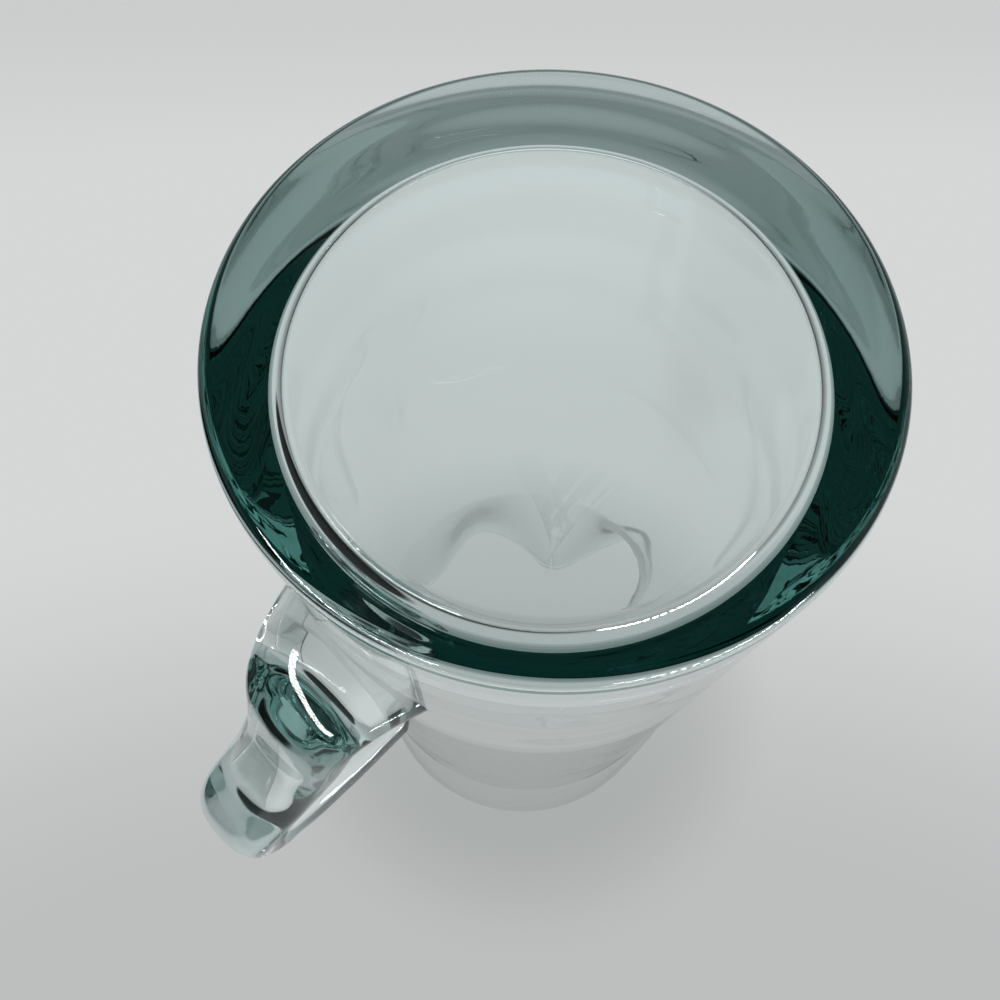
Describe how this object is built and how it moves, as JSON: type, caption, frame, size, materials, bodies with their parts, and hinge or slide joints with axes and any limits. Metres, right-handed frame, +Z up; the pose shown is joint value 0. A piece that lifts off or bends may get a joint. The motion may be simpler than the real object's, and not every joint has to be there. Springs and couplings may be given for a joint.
{
  "type": "pitcher",
  "caption": "Tall round clear-glass pitcher with a thick flat base, a narrowing wall, a pinched pouring lip and an applied ear-shaped handle.",
  "frame": {"origin": "centre of the flat underside, on the axis of the body", "axes": "+Z up along the axis of the body from base to rim, +X towards the pouring spout, -X towards the handle"},
  "size_m": [0.174, 0.112, 0.234],
  "materials": {
    "body_glass": "clear, fire-polished",
    "handle_glass": "clear, fire-polished"
  },
  "bodies": {
    "root": {"body": "body_glass", "handle": "handle_glass"}
  },
  "joints": []
}
